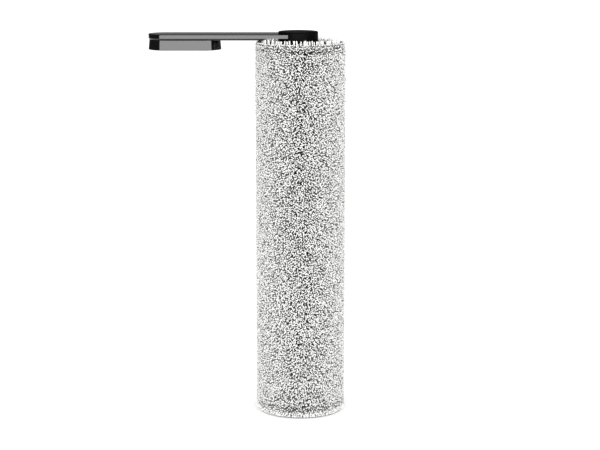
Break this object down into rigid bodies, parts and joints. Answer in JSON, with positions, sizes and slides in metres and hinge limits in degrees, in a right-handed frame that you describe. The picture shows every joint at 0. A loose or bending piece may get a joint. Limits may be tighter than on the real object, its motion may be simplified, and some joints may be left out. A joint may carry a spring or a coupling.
{
  "type": "floor scrubber brush roller",
  "caption": "White pile brush roller for a wet and dry floor scrubber, with a drive socket at one end and a swivelling black carrier arm at the other.",
  "frame": {"origin": "centre of the drive coupling's mouth, on the roller's axis, in the face that the roller stands on", "axes": "+Z along the roller's axis from the drive end to the bearing end, +X away from the arm's tip at rest, +Y across the arm"},
  "size_m": [0.1206, 0.056, 0.2371],
  "materials": {
    "tube_plastic": "satin",
    "backing_cloth": "matte",
    "pile_fibre": "matte",
    "cap_plastic": "satin",
    "acetal": "satin",
    "steel": "satin",
    "bearing_steel": "polished",
    "shield_steel": "satin",
    "spring_steel": "satin",
    "seal_rubber": "matte",
    "cage_nylon": "matte",
    "arm_gloss": "gloss",
    "hub_plastic": "satin",
    "magnet": "satin"
  },
  "bodies": {
    "roller": {"core_tube": "tube_plastic", "pile_backing": "backing_cloth", "pile": "pile_fibre", "drive_end_cap": "cap_plastic", "drive_coupling": "acetal", "coupling_screws": "steel", "bearing_end_cap": "cap_plastic", "plug_o_rings": "seal_rubber", "bearing_outer_race": "bearing_steel", "bearing_shields": "shield_steel", "bearing_circlip": "spring_steel", "shaft_seal": "seal_rubber"},
    "ball_train": {"bearing_cage": "cage_nylon", "bearing_balls": "bearing_steel"},
    "arm": {"bearing_inner_race": "bearing_steel", "spindle": "steel", "race_washer": "steel", "race_screw": "steel", "arm_shell": "arm_gloss", "arm_stiffener": "steel", "arm_underplate": "cap_plastic", "hub_housing": "hub_plastic", "hub_cap": "hub_plastic", "pad_housing": "arm_gloss", "pad_base": "cap_plastic", "pad_magnets": "magnet", "pad_screws": "steel"}
  },
  "joints": [
    {"name": "arm_swivel", "type": "hinge", "parent": "roller", "child": "arm", "pos_m": [0, 0, 0.2213], "axis": [0, 0, 1], "continuous": true},
    {"name": "ball_train_spin", "type": "hinge", "parent": "roller", "child": "ball_train", "pos_m": [0, 0, 0.2213], "axis": [0, 0, 1], "continuous": true}
  ],
  "couplings": [
    {"joint": "ball_train_spin", "follows": "arm_swivel", "ratio": 0.36773}
  ]
}
